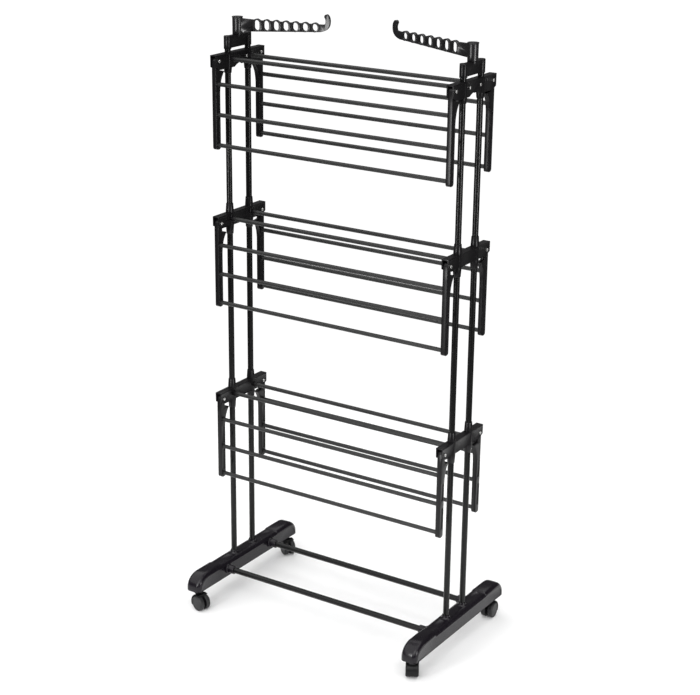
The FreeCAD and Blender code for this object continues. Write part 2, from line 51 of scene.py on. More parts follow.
# Where the rack's own pieces stand, read from the frame, in metres
tiers = ["bottom", "middle", "top"]
ends = {"left": -1, "right": 1}
sides = {"front": -1, "back": 1}


def middleOf(node):
    low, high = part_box(node)
    return (low + high) / 2


endX = middleOf("middle_uprights_right").x
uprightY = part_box("middle_uprights_right")[1].y - 0.008
tierZ = {tier: middleOf(tier + "_fixed_rods").z for tier in tiers}
fixedY = {tier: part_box(tier + "_fixed_rods")[1].y - 0.0055 for tier in tiers}
tubeHole = 0.00806  # radius of the holes that 16 mm tubes go into
rodHole = 0.00556  # and of those for the hanging rods
hinges = {}
for joint in frame["joints"]:
    hinges[joint["name"]] = Vector(joint["pos_m"])


# Small tools for modelling

def clearSelection():
    if bpy.context.object is not None and bpy.context.object.mode != "OBJECT":
        bpy.ops.object.mode_set(mode="OBJECT")
    bpy.ops.object.select_all(action="DESELECT")


def makeActive(piece):
    clearSelection()
    piece.select_set(True)
    bpy.context.view_layer.objects.active = piece


def settle(name):  # names the new primitive and bakes its place into its mesh
    piece = bpy.context.object
    piece.name = name
    bpy.ops.object.transform_apply(location=True, rotation=True, scale=True)
    return piece


def addBox(name, low, high):
    low, high = Vector(low), Vector(high)
    clearSelection()
    bpy.ops.mesh.primitive_cube_add(size=1, location=(low + high) / 2, scale=high - low)
    return settle(name)


def addDrum(name, radius, start, length, axis="Z", steps=48, topRadius=None):
    turn = {"X": (0, math.pi / 2, 0), "Y": (-math.pi / 2, 0, 0), "Z": (0, 0, 0)}[axis]
    along = {"X": Vector((1, 0, 0)), "Y": Vector((0, 1, 0)), "Z": Vector((0, 0, 1))}[axis]
    clearSelection()
    bpy.ops.mesh.primitive_cone_add(
        vertices=steps, radius1=radius, radius2=radius if topRadius is None else topRadius, depth=length,
        location=Vector(start) + along * (length / 2), rotation=turn)
    return settle(name)


def edit(piece, kind="FACE"):
    makeActive(piece)
    bpy.ops.object.mode_set(mode="EDIT")
    bpy.ops.mesh.select_mode(type=kind)
    bpy.ops.mesh.select_all(action="DESELECT")
    return bmesh.from_edit_mesh(piece.data)


def done():
    bpy.ops.object.mode_set(mode="OBJECT")


def pickFaces(piece, rule):  # rule(centre, normal)
    mesh = edit(piece, "FACE")
    for face in mesh.faces:
        face.select_set(bool(rule(face.calc_center_median(), face.normal)))
    mesh.select_flush_mode()
    bmesh.update_edit_mesh(piece.data)


def pickEdges(piece, rule):  # rule(first end, second end)
    mesh = edit(piece, "EDGE")
    for edge in mesh.edges:
        edge.select_set(bool(rule(edge.verts[0].co, edge.verts[1].co)))
    bmesh.update_edit_mesh(piece.data)


def pickPoints(piece, rule):  # rule(place)
    mesh = edit(piece, "VERT")
    for vert in mesh.verts:
        vert.select_set(bool(rule(vert.co)))
    mesh.select_flush_mode()
    bmesh.update_edit_mesh(piece.data)


def sliceAt(piece, axis, places):
    normal = {"X": (1, 0, 0), "Y": (0, 1, 0), "Z": (0, 0, 1)}[axis]
    edit(piece)
    for place in places:
        bpy.ops.mesh.select_all(action="SELECT")
        bpy.ops.mesh.bisect(plane_co=Vector(normal) * place, plane_no=normal)
    done()


def shiftPoints(piece, rule, move):
    pickPoints(piece, rule)
    bpy.ops.transform.translate(value=move)
    done()


def bevelEdges(piece, rule, width, segments=3):
    pickEdges(piece, rule)
    bpy.ops.mesh.bevel(offset=width, offset_type="OFFSET", segments=segments, affect="EDGES", clamp_overlap=True)
    done()


def insetFaces(piece, rule, border, depth=0.0, separately=False):
    pickFaces(piece, rule)
    bpy.ops.mesh.inset(thickness=border, depth=depth, use_individual=separately)
    done()


def raiseFaces(piece, rule, height):  # a raised or sunken patch with upright sides
    pickFaces(piece, rule)
    bpy.ops.mesh.extrude_region_shrink_fatten(
        TRANSFORM_OT_shrink_fatten={"value": height, "use_even_offset": True})
    done()


def finishWith(piece, kind, **settings):
    makeActive(piece)
    modifier = piece.modifiers.new(kind.title(), kind)
    for key, value in settings.items():
        setattr(modifier, key, value)
    bpy.ops.object.modifier_apply(modifier=modifier.name)
    return piece


def combine(piece, others, operation="UNION"):
    for other in others:
        finishWith(piece, "BOOLEAN", operation=operation, object=other, solver="EXACT")
        bpy.data.meshes.remove(other.data)
    return piece


def joinTogether(name, pieces):
    clearSelection()
    for piece in pieces:
        piece.select_set(True)
    bpy.context.view_layer.objects.active = pieces[0]
    if len(pieces) > 1:
        bpy.ops.object.join()
    pieces[0].name = name
    return pieces[0]


def softenEdges(piece, width, segments=2, angle=32):
    finishWith(piece, "BEVEL", width=width, segments=segments, limit_method="ANGLE",
               angle_limit=math.radians(angle), use_clamp_overlap=True, miter_outer="MITER_ARC")
    return piece


def smoothOver(piece, angle=38):
    edit(piece)
    bpy.ops.mesh.select_all(action="SELECT")
    bpy.ops.mesh.remove_doubles(threshold=0.000005)
    bpy.ops.mesh.normals_make_consistent(inside=False)
    done()
    bpy.ops.object.shade_smooth_by_angle(angle=math.radians(angle))
    return piece


def copyOf(piece, name, place=(0, 0, 0), turn=0.0, flipX=False, flipY=False):
    mesh = piece.data.copy()
    change = Matrix.Translation(Vector(place)) @ Matrix.Rotation(turn, 4, "Z")
    change = change @ Matrix.Diagonal((-1 if flipX else 1, -1 if flipY else 1, 1, 1))
    mesh.transform(change)
    if flipX != flipY:
        mesh.flip_normals()
    made = bpy.data.objects.new(name, mesh)
    bpy.context.scene.collection.objects.link(made)
    return made


def retire(piece):  # the pattern piece that copies were taken from
    bpy.data.meshes.remove(piece.data)


def outlinePiece(name, points, axis, low, high):
    # a flat piece drawn by extruding one point round its outline, then filled and thickened
    def place(pair, depth):
        return Vector((depth, pair[0], pair[1])) if axis == "X" else Vector((pair[0], depth, pair[1]))
    clearSelection()
    bpy.ops.mesh.primitive_plane_add(size=0.001, location=place(points[0], low))
    piece = settle(name)
    edit(piece, "VERT")
    bpy.ops.mesh.select_all(action="SELECT")
    bpy.ops.mesh.merge(type="CENTER")
    for here, there in zip(points[:-1], points[1:]):
        step = place(there, low) - place(here, low)
        bpy.ops.mesh.extrude_region_move(TRANSFORM_OT_translate={"value": step})
    bpy.ops.mesh.select_all(action="SELECT")
    bpy.ops.mesh.edge_face_add()
    thick = place((0, 0), high - low)
    bpy.ops.mesh.extrude_region_move(TRANSFORM_OT_translate={"value": thick})
    bpy.ops.mesh.select_all(action="SELECT")
    bpy.ops.mesh.normals_make_consistent(inside=False)
    done()
    return piece


def arc(centre, radius, first, last, steps):  # points on an arc, angles in degrees
    angles = [math.radians(first + (last - first) * i / steps) for i in range(steps + 1)]
    return [(centre[0] + radius * math.cos(a), centre[1] + radius * math.sin(a)) for a in angles]


def bowed(start, middle, stop, steps):  # points on a smooth curve through three places
    places = []
    for i in range(steps + 1):
        t = i / steps
        control = [2 * middle[k] - (start[k] + stop[k]) / 2 for k in range(2)]
        places.append(tuple(
            (1 - t) ** 2 * start[k] + 2 * t * (1 - t) * control[k] + t ** 2 * stop[k] for k in range(2)))
    return places


# Feet

footShape = {
    "width": 0.047, "halfLength": 0.240, "low": 0.059, "top": 0.103, "noseHeight": 0.038, "noseLength": 0.045,
    "shoulder": 0.013, "endStart": 0.136, "endRise": 0.0025, "endRamp": 0.0016, "panelBorder": 0.0016,
    "panelDepth": 0.0011, "deckStart": 0.062, "deckEnd": 0.131, "deckBorder": 0.0022, "deckDepth": 0.0009,
    "socketRadius": 0.0115, "socketLength": 0.022, "rootRadius": 0.0140, "rootLength": 0.004,
    "coverRoom": 0.0031, "barY": 0.102, "barZ": 0.081, "barDeep": 0.018, "uprightLow": 0.066,
    "stemY": 0.214, "stemHole": 0.0050,
}


def makeFoot():
    s = footShape
    half = s["width"] / 2
    long, low, high = s["halfLength"], s["low"], s["top"] + s["endRise"]
    foot = addBox("footPattern", (-half, -long, low), (half, long, high))
    bevelEdges(foot, lambda a, b: abs(a.z - high) < 1e-5 and abs(b.z - high) < 1e-5
               and abs(a.y - b.y) < 1e-5, s["noseHeight"], 14)
    for side in (-1, 1):  # a nose is longer than it is high
        pickPoints(foot, lambda p: side * p.y > long - s["noseHeight"] - 1e-5)
        stretch = s["noseLength"] / s["noseHeight"]
        bpy.ops.transform.resize(value=(1, stretch, 1), center_override=(0, side * long, 0))
        done()
    bevelEdges(foot, lambda a, b: abs(a.x - b.x) < 1e-5 and max(a.z, b.z) > low + 1e-4, s["shoulder"], 7)
    # a sunken panel down each side, which follows the nose
    insetFaces(foot, lambda c, n: abs(n.x) > 0.999, s["panelBorder"], 0)
    pickFaces(foot, lambda c, n: abs(n.x) > 0.999 and abs(c.y) < 0.02)
    bpy.ops.mesh.extrude_region_shrink_fatten(TRANSFORM_OT_shrink_fatten={"value": -s["panelDepth"]})
    done()
    stations = [s["endStart"], s["endStart"] + s["endRamp"], s["deckStart"], s["deckEnd"]]
    sliceAt(foot, "Y", [side * place for side in (-1, 1) for place in stations])
    shiftPoints(foot, lambda p: abs(p.y) < s["endStart"] + 1e-5 and p.z > high - s["shoulder"] + 1e-5,
                (0, 0, -s["endRise"]))
    deckMiddle = (s["deckStart"] + s["deckEnd"]) / 2
    for side in (-1, 1):  # a shallow sunken deck beside each upright

        def onDeck(c, n):
            return n.z > 0.99 and s["deckStart"] < side * c.y < s["deckEnd"] and c.z > s["top"] - 1e-4

        insetFaces(foot, onDeck, s["deckBorder"], 0)
        pickFaces(foot, lambda c, n: onDeck(c, n) and abs(c.x) < 0.002 and abs(side * c.y - deckMiddle) < 0.02)
        bpy.ops.mesh.extrude_region_shrink_fatten(TRANSFORM_OT_shrink_fatten={"value": -s["deckDepth"]})
        done()
    underside = lambda c, n: n.z < -0.99 and c.z < low + 1e-4
    insetFaces(foot, underside, s["coverRoom"], 0)
    pickFaces(foot, lambda c, n: underside(c, n) and abs(c.x) < half - s["coverRoom"]
              and abs(c.y) < long - s["coverRoom"])
    bpy.ops.mesh.extrude_region_move(TRANSFORM_OT_translate={"value": (0, 0, s["coverRoom"])})
    done()
    softenEdges(foot, 0.0006, 2, 34)
    extras, holes = [], []
    for side in (-1, 1):
        start = (-half - s["socketLength"], side * s["barY"], s["barZ"])
        socket = addDrum("barSocket", s["socketRadius"], start, s["socketLength"] + 0.006, "X", 40)
        bevelEdges(socket, lambda a, b: a.x < start[0] + 1e-4 and b.x < start[0] + 1e-4, 0.0010, 3)
        root = addDrum("barRoot", s["rootRadius"], (-half - s["rootLength"], side * s["barY"], s["barZ"]),
                       s["rootLength"] + 0.005, "X", 40)
        bevelEdges(root, lambda a, b: max(a.x, b.x) < -half - s["rootLength"] + 1e-4, 0.0022, 4)
        extras += [socket, root, makeFlare(side * uprightY, s["top"])]
        holes.append(addDrum("uprightHole", tubeHole, (0, side * uprightY, s["uprightLow"]), 0.080, "Z", 48))
        barStart = (start[0] - 0.01, side * s["barY"], s["barZ"])
        holes.append(addDrum("barHole", tubeHole, barStart, 0.01 + s["socketLength"] + s["barDeep"], "X", 48))
        holes.append(addDrum("stemHole", s["stemHole"], (0, side * s["stemY"], low - 0.002), 0.032, "Z", 32))
    combine(foot, extras)
    combine(foot, holes, "DIFFERENCE")
    return smoothOver(foot)


def makeFlare(y, base):  # the trumpet-shaped collar that an upright stands in
    rings = [(0.0150, -0.0010), (0.0130, 0.0006), (0.0116, 0.0028), (0.0107, 0.0056), (0.0102, 0.0085)]
    flare = addDrum("flare", rings[0][0], (0, y, base - 0.005), 0.004, "Z", 48)
    for (before, low), (after, high) in zip(rings[:-1], rings[1:]):
        pickFaces(flare, lambda c, n: n.z > 0.9)
        bpy.ops.mesh.extrude_region_move(TRANSFORM_OT_translate={"value": (0, 0, high - low)})
        bpy.ops.transform.resize(value=(after / before, after / before, 1), center_override=(0, y, base + high))
        done()
    bevelEdges(flare, lambda a, b: min(a.z, b.z) > base + rings[-1][1] - 1e-5, 0.0006, 2)
    return flare


# Tier brackets

bracketShape = {
    "halfWidth": 0.010, "halfLength": 0.106, "rise": 0.017, "wall": 0.003, "roof": 0.014,
    "endLift": 0.008, "endSlope": 0.018, "pocketEnd": 0.0775, "rib": 0.004, "archHalf": 0.026, "archHeight": 0.009,
    "collarRadius": 0.011, "collarTip": 0.0095, "collarStraight": 0.020, "rodSocket": 0.007, "socketLength": 0.012,
    "panelDepth": 0.0009, "lip": 0.0045,
}
bracketDrop = {"middle": 0.017, "top": 0.022}
collarReach = {"middle": (0.042, 0.042), "top": (0.036, 0.017)}


def makeCollar(y, below, above):
    s = bracketShape
    straightTop = min(above, s["collarStraight"])
    collar = addDrum("collar", s["collarRadius"], (0, y, -s["collarStraight"]),
                     s["collarStraight"] + straightTop, "Z", 48)
    for sign, far, straight in ((-1, below, s["collarStraight"]), (1, above, straightTop)):
        if far > straight + 1e-4:
            pickFaces(collar, lambda c, n: sign * n.z > 0.9)
            bpy.ops.mesh.extrude_region_move(TRANSFORM_OT_translate={"value": (0, 0, sign * (far - straight))})
            shrink = s["collarTip"] / s["collarRadius"]
            bpy.ops.transform.resize(value=(shrink, shrink, 1), center_override=(0, y, sign * far))
            done()
    bevelEdges(collar, lambda a, b: abs(a.z - b.z) < 1e-6
               and (abs(a.z + below) < 1e-5 or abs(a.z - above) < 1e-5), 0.0006, 2)
    return collar


def makeBracket(tier):
    s = bracketShape
    low = -bracketDrop[tier]
    w, far = s["halfWidth"], s["halfLength"]
    outline = [(-far, s["rise"]), (-far, low + s["endLift"]), (-far + s["endSlope"], low)]
    if tier == "top":
        outline += bowed((-s["archHalf"], low), (0, low + s["archHeight"]), (s["archHalf"], low), 14)
    outline += [(far - s["endSlope"], low), (far, low + s["endLift"]), (far, s["rise"])]
    bracket = outlinePiece("bracketPattern", outline, "X", -w, w)
    sliceAt(bracket, "Z", [s["rise"] - s["lip"]])
    # a lip along the top, with the walls a little behind it between the uprights
    raiseFaces(bracket, lambda c, n: abs(n.x) > 0.9 and c.z < s["rise"] - s["lip"], -s["panelDepth"])
    softenEdges(bracket, 0.0009, 3, 30)
    rooms = [addBox("room", (-w + s["wall"], -s["pocketEnd"] + s["rib"], -0.05),
                    (w - s["wall"], s["pocketEnd"] - s["rib"], s["roof"]))]
    for side in (-1, 1):
        near, away = sorted([side * s["pocketEnd"], side * 0.12])
        rooms.append(addBox("room", (-w + s["wall"], near, -0.05), (w - s["wall"], away, s["roof"])))
    combine(bracket, rooms, "DIFFERENCE")
    below, above = collarReach[tier]
    y = fixedY[tier]
    extras = []
    for side in (-1, 1):
        extras.append(makeCollar(side * uprightY, below, above))
        start = (-w - s["socketLength"], side * y, 0)
        socket = addDrum("rodSocket", s["rodSocket"], start, s["socketLength"] + s["wall"], "X", 32)
        bevelEdges(socket, lambda a, b: a.x < start[0] + 1e-5 and b.x < start[0] + 1e-5, 0.0009, 3)
        extras.append(socket)
    combine(bracket, extras)
    holes = []
    for side in (-1, 1):
        holes.append(addDrum("uprightHole", tubeHole, (0, side * uprightY, -0.06), 0.12, "Z", 48))
        holes.append(addDrum("rodHole", rodHole, (-w - 0.02, side * y, 0), 0.0205, "X", 32))
    combine(bracket, holes, "DIFFERENCE")
    return smoothOver(bracket)


# Wing arms

armShape = {
    "halfWidth": 0.0065, "outer": 0.012, "inner": -0.006, "low": -0.231, "corner": 0.007, "topRadius": 0.0105,
    "gussetTop": -0.028, "gussetEnd": -0.083, "gussetReach": -0.024, "border": 0.0034, "sink": 0.0016,
    "gussetBow": (-0.0114, -0.0511), "rods": (-0.059, -0.139, -0.219), "rodY": 0.003, "rodBand": 0.0092, "edge": 0.0008, "pinHole": 0.0026,
}


def makeWingArm():  # the back arm on the right, hanging from its hinge at the origin
    s = armShape
    corner = s["corner"]
    outline = [(s["outer"], 0.0)]
    outline += arc((s["outer"] - corner, s["low"] + corner), corner, 0, -90, 6)
    outline += arc((s["inner"] + corner, s["low"] + corner), corner, -90, -180, 6)
    tip = (s["gussetReach"], s["gussetTop"] - 0.002)
    outline += bowed((s["inner"], s["gussetEnd"]), s["gussetBow"], tip, 10)
    outline += [(s["gussetReach"] + 0.0006, s["gussetTop"]), (s["inner"], s["gussetTop"] + 0.002)]
    outline += [(s["inner"], -s["topRadius"])]
    outline += arc((0, 0), s["topRadius"] + 0.0008, 205, 45, 14)
    arm = outlinePiece("armPattern", outline, "X", -s["halfWidth"], s["halfWidth"])
    cuts = [s["gussetTop"] - 0.006, s["gussetEnd"] + 0.006]
    for drop in s["rods"]:
        cuts += [drop - s["rodBand"], drop + s["rodBand"]]
    sliceAt(arm, "Z", cuts)
    spans = [
        (s["rods"][2] + s["rodBand"], s["rods"][1] - s["rodBand"]),
        (s["rods"][1] + s["rodBand"], s["gussetEnd"] + 0.006),
    ]
    for low, high in spans:  # sunken panels on both faces, between the rods
        insetFaces(arm, lambda c, n: abs(n.x) > 0.9 and low < c.z < high, s["border"], 0)
        pickFaces(arm, lambda c, n: abs(n.x) > 0.9 and low + s["border"] / 2 < c.z < high - s["border"] / 2
                  and abs(c.y - s["rodY"]) < 0.002)
        bpy.ops.mesh.extrude_region_shrink_fatten(TRANSFORM_OT_shrink_fatten={"value": -s["sink"]})
        done()
    softenEdges(arm, s["edge"], 3, 30)
    bosses = []
    for drop in s["rods"]:  # a low ring where each rod goes in
        boss = addDrum("rodBoss", 0.0074, (-s["halfWidth"] - 0.0010, s["rodY"], drop), 0.004, "X", 32)
        bevelEdges(boss, lambda a, b: max(a.x, b.x) < -s["halfWidth"] - 0.0009, 0.0007, 2)
        bosses.append(boss)
    combine(arm, bosses)
    holes = [addDrum("rodHole", rodHole, (-0.012, s["rodY"], drop), 0.0135, "X", 32) for drop in s["rods"]]
    holes.append(addDrum("pinHole", s["pinHole"], (-0.012, 0, 0), 0.024, "X", 32))
    combine(arm, holes, "DIFFERENCE")
    return smoothOver(arm)


# Rivets and bolts

def makeRivet(radius, height, dimple, shaft):  # a domed head on each side of the bracket, and the shaft between
    half = bracketShape["halfWidth"]
    heads = [addDrum("rivetShaft", shaft, (-half, 0, 0), 2 * half, "X", 32)]
    for sign in (-1, 1):
        start = half if sign > 0 else -half - height
        head = addDrum("rivetHead", radius, (start, 0, 0), height, "X", 32)
        outside = sign * (half + height)
        bevelEdges(head, lambda a, b: abs(a.x - outside) < 1e-5 and abs(b.x - outside) < 1e-5, height * 0.8, 5)
        insetFaces(head, lambda c, n: sign * n.x > 0.99 and abs(c.x) > half + 1e-4, radius * 0.12, 0)
        if dimple > 0:
            pickFaces(head, lambda c, n: sign * n.x > 0.99 and math.hypot(c.y, c.z) < radius * 0.2)
            bpy.ops.mesh.inset(thickness=radius * 0.10, depth=-dimple)
            done()
        heads.append(head)
    rivet = combine(heads[0], heads[1:])
    rivet.name = "rivetPattern"
    return smoothOver(rivet, 50)


def makeBolt(radius, height, shaft):  # pan heads with a cross recess
    bolt = makeRivet(radius, height, 0.0, shaft)
    bolt.name = "boltPattern"
    half = bracketShape["halfWidth"]
    cuts = []
    for sign in (-1, 1):
        deep, out = sorted([sign * (half + height * 0.35), sign * (half + 0.01)])
        for wide, tall in ((0.0005, radius * 0.62), (radius * 0.62, 0.0005)):
            cuts.append(addBox("crossCut", (deep, -wide, -tall), (out, wide, tall)))
    combine(bolt, cuts, "DIFFERENCE")
    return smoothOver(bolt, 40)


# Heads and hanger arms

headShape = {
    "low": 0.028, "high": 0.059, "socketLow": 0.026, "top": 0.060, "socketRadius": 0.010, "halfThick": 0.007,
    "panelBorder": 0.0035, "panelDepth": 0.0018, "discRadius": 0.0135, "discLow": 0.054, "postRadius": 0.008,
    "postTop": 0.092, "screwHole": 0.0025, "screwDeep": 0.018,
}
hangerShape = {
    "halfThick": 0.004, "hubRadius": 0.0135, "hubLow": 0.06035, "hubHigh": 0.101, "grooveLow": 0.0770,
    "grooveHigh": 0.0782, "grooveDepth": 0.0007, "bottomAtHub": 0.0658, "bottomSlope": 0.0668, "rootTop": 0.0995,
    "slots": 7, "firstSlot": 0.0585, "slotPitch": 0.02795, "slotHalfWidth": 0.00875, "slotHalfHeight": 0.0135,
    "slotStep": 0.0007, "slotCentre": 0.0861, "centreSlope": 0.0382, "rim": 0.0031, "webDrop": 0.004,
    "hookStart": 0.243, "hookReach": 0.269, "hookTop": 0.128, "rimProud": 0.0006, "edge": 0.0007,
    "boreRadius": 0.00809, "counterRadius": 0.011, "counterLow": 0.09165,
}
capShape = {
    "low": 0.101, "high": 0.1045, "radius": 0.015, "footRadius": 0.0136, "dish": 0.0005,
    "spigotRadius": 0.01095, "spigotLow": 0.099,
}


def makeHead():
    s = headShape
    plate = addBox("headPattern", (-s["halfThick"], -uprightY, s["low"]), (s["halfThick"], uprightY, s["high"]))
    edgeY = uprightY - s["socketRadius"]
    sliceAt(plate, "Y", [-edgeY, edgeY])
    sliceAt(plate, "Z", [s["discLow"] - 0.001])
    insetFaces(plate, lambda c, n: abs(n.x) > 0.9 and abs(c.y) < edgeY and c.z < s["discLow"], s["panelBorder"], 0)
    pickFaces(plate, lambda c, n: abs(n.x) > 0.9 and abs(c.y) < 0.001 and c.z < s["discLow"] - 0.005)
    bpy.ops.mesh.extrude_region_shrink_fatten(TRANSFORM_OT_shrink_fatten={"value": -s["panelDepth"]})
    done()
    softenEdges(plate, 0.0007, 2, 30)
    extras = []
    for side in (-1, 1):
        socket = addDrum("socket", s["socketRadius"], (0, side * uprightY, s["socketLow"]),
                         s["top"] - s["socketLow"], "Z", 48)
        bevelEdges(socket, lambda a, b: min(a.z, b.z) > s["top"] - 1e-5, 0.0016, 4)
        bevelEdges(socket, lambda a, b: max(a.z, b.z) < s["socketLow"] + 1e-5, 0.0006, 2)
        extras.append(socket)
    disc = addDrum("hubBase", s["discRadius"], (0, 0, s["discLow"]), s["top"] - s["discLow"], "Z", 56)
    bevelEdges(disc, lambda a, b: max(a.z, b.z) < s["discLow"] + 1e-5, 0.0012, 3)
    extras.append(disc)
    post = addDrum("post", s["postRadius"], (0, 0, s["top"] - 0.002), s["postTop"] - s["top"] + 0.002, "Z", 48)
    extras.append(post)
    combine(plate, extras)
    holes = [addDrum("uprightHole", tubeHole, (0, side * uprightY, 0.0), 0.055, "Z", 48) for side in (-1, 1)]
    holes.append(addDrum("screwHole", s["screwHole"], (0, 0, s["postTop"] - s["screwDeep"]), 0.03, "Z", 24))
    combine(plate, holes, "DIFFERENCE")
    return smoothOver(plate)


def slotPlace(index):
    s = hangerShape
    along = s["firstSlot"] + index * s["slotPitch"]
    centre = s["slotCentre"] + s["centreSlope"] * (along - s["firstSlot"])
    return along, centre, s["slotHalfHeight"] - index * s["slotStep"]


def makeSlot(name, along, centre, halfWidth, halfHeight, halfThick):
    # an upright slot with round ends: a drum across the blade, pulled apart at its waist
    drum = addDrum(name, halfWidth, (along, -halfThick, centre), 2 * halfThick, "Y", 32)
    stretch = halfHeight - halfWidth
    shiftPoints(drum, lambda p: p.z > centre + 1e-6, (0, 0, stretch))
    shiftPoints(drum, lambda p: p.z < centre - 1e-6, (0, 0, -stretch))
    return drum


def makeHangerArm():  # along +X, turning about Z
    s = hangerShape
    thick = s["halfThick"]
    firstAlong, firstCentre, firstHalf = slotPlace(0)
    lastAlong, lastCentre, lastHalf = slotPlace(s["slots"] - 1)
    webFirst = firstCentre + firstHalf + s["rim"] - s["webDrop"]
    webLast = lastCentre + lastHalf + s["rim"] - s["webDrop"]
    bottomEnd = s["bottomAtHub"] + s["bottomSlope"] * s["hookStart"]
    reach, top = s["hookReach"], s["hookTop"]
    root = s["hubRadius"] - 0.004
    outline = [(root, s["bottomAtHub"] + s["bottomSlope"] * root)]
    outline += bowed((s["hookStart"], bottomEnd), (reach - 0.0065, bottomEnd + 0.0095), (reach, bottomEnd + 0.027), 8)
    outline += bowed(
        (reach, bottomEnd + 0.0275), (reach - 0.0012, top - 0.009), (reach - 0.0045, top - 0.0035), 6)[1:]
    outline += arc((reach - 0.0095, top - 0.0062), 0.0060, 28, 190, 9)
    outline += bowed(
        (reach - 0.0150, top - 0.0085), (reach - 0.0118, top - 0.0155), (reach - 0.0130, top - 0.0245), 6)[1:]
    outline += bowed((reach - 0.0136, top - 0.0262), (reach - 0.0165, webLast + 0.0010), (reach - 0.0225, webLast), 6)
    outline += [(lastAlong, webLast), (firstAlong, webFirst), (firstAlong - s["slotHalfWidth"] - 0.006, s["rootTop"])]
    outline += [(root, s["rootTop"] + 0.0008)]
    blade = outlinePiece("hangerPattern", outline, "Y", -thick, thick)
    softenEdges(blade, s["edge"], 3, 30)
    rims, slots = [], []
    for index in range(s["slots"]):
        along, centre, half = slotPlace(index)
        rim = makeSlot(
            "slotRim", along, centre, s["slotHalfWidth"] + s["rim"], half + s["rim"], thick + s["rimProud"])
        softenEdges(rim, s["edge"], 3, 50)
        rims.append(rim)
        slots.append(makeSlot("slotHole", along, centre, s["slotHalfWidth"], half, thick * 3))
    hub = addDrum("hub", s["hubRadius"], (0, 0, s["hubLow"]), s["hubHigh"] - s["hubLow"], "Z", 64)
    sliceAt(hub, "Z", [s["grooveLow"], s["grooveHigh"]])
    raiseFaces(hub, lambda c, n: s["grooveLow"] < c.z < s["grooveHigh"] and abs(n.z) < 0.5, -s["grooveDepth"])
    bevelEdges(hub, lambda a, b: max(a.z, b.z) < s["hubLow"] + 1e-5, 0.0008, 3)
    combine(blade, rims + [hub])
    bore = addDrum("postBore", s["boreRadius"], (0, 0, 0.03), 0.1, "Z", 48)
    counterbore = addDrum("counterbore", s["counterRadius"], (0, 0, s["counterLow"]), 0.02, "Z", 56)
    combine(blade, slots + [bore, counterbore], "DIFFERENCE")
    softenEdges(blade, 0.00035, 2, 60)
    return smoothOver(blade)


def makeCap():
    s = capShape
    cap = addDrum("capPattern", s["footRadius"], (0, 0, s["low"]), s["high"] - s["low"], "Z", 64, s["radius"])
    bevelEdges(cap, lambda a, b: min(a.z, b.z) > s["high"] - 1e-5, 0.0009, 4)
    insetFaces(cap, lambda c, n: n.z > 0.99, 0.0016, 0)
    insetFaces(cap, lambda c, n: n.z > 0.99 and math.hypot(c.x, c.y) < 0.004, 0.0008, -s["dish"])
    spigot = addDrum("spigot", s["spigotRadius"], (0, 0, s["spigotLow"]), s["low"] - s["spigotLow"] + 0.001, "Z", 56)
    combine(cap, [spigot])
    return smoothOver(cap)


# Casters

casterShape = {
    "radius": 0.022, "trail": 0.014, "plateHalf": 0.0035, "plateInset": 0.004, "gap": 0.0005, "wheelWidth": 0.0135,
    "wheelFace": 0.003, "outerRound": 0.0045, "innerRound": 0.0015, "hoodInner": 0.0235, "hoodOuter": 0.026,
    "hoodLow": 0.012, "hoodPast": 0.007, "hoodRound": 0.0038, "top": 0.05865, "neckRadius": 0.010, "neckLow": 0.0455, "stemRadius": 0.0045,
    "stemLength": 0.028, "axleRadius": 0.003,
}


def makeCasterWheel(side):
    s = casterShape
    inner = side * (s["plateHalf"] + s["gap"])
    outer = inner + side * s["wheelWidth"]
    wheel = addDrum("wheelPattern", s["radius"], (s["trail"], min(inner, outer), s["radius"]), s["wheelWidth"], "Y", 64)

    def offAxle(p):
        return math.hypot(p.x - s["trail"], p.z - s["radius"])

    bevelEdges(wheel, lambda a, b: abs(a.y - outer) < 1e-5 and abs(b.y - outer) < 1e-5, s["outerRound"], 6)
    bevelEdges(wheel, lambda a, b: abs(a.y - inner) < 1e-5 and abs(b.y - inner) < 1e-5, s["innerRound"], 3)
    outside = lambda c, n: side * n.y > 0.99 and offAxle(c) < 0.001
    insetFaces(wheel, outside, 0.0012, 0)
    insetFaces(wheel, outside, 0.0006, -0.0005)  # a fine step round a nearly flat hub disc
    insetFaces(wheel, outside, 0.0060, 0.0003)
    insetFaces(wheel, outside, 0.0050, 0.0002)
    bore = addDrum("bore", s["axleRadius"] + 0.0001, (s["trail"], min(inner, outer), s["radius"]), s["wheelWidth"],
                   "Y", 32)
    bore.data.transform(Matrix.Translation((0, -side * s["wheelFace"], 0)))
    combine(wheel, [bore], "DIFFERENCE")
    return smoothOver(wheel)


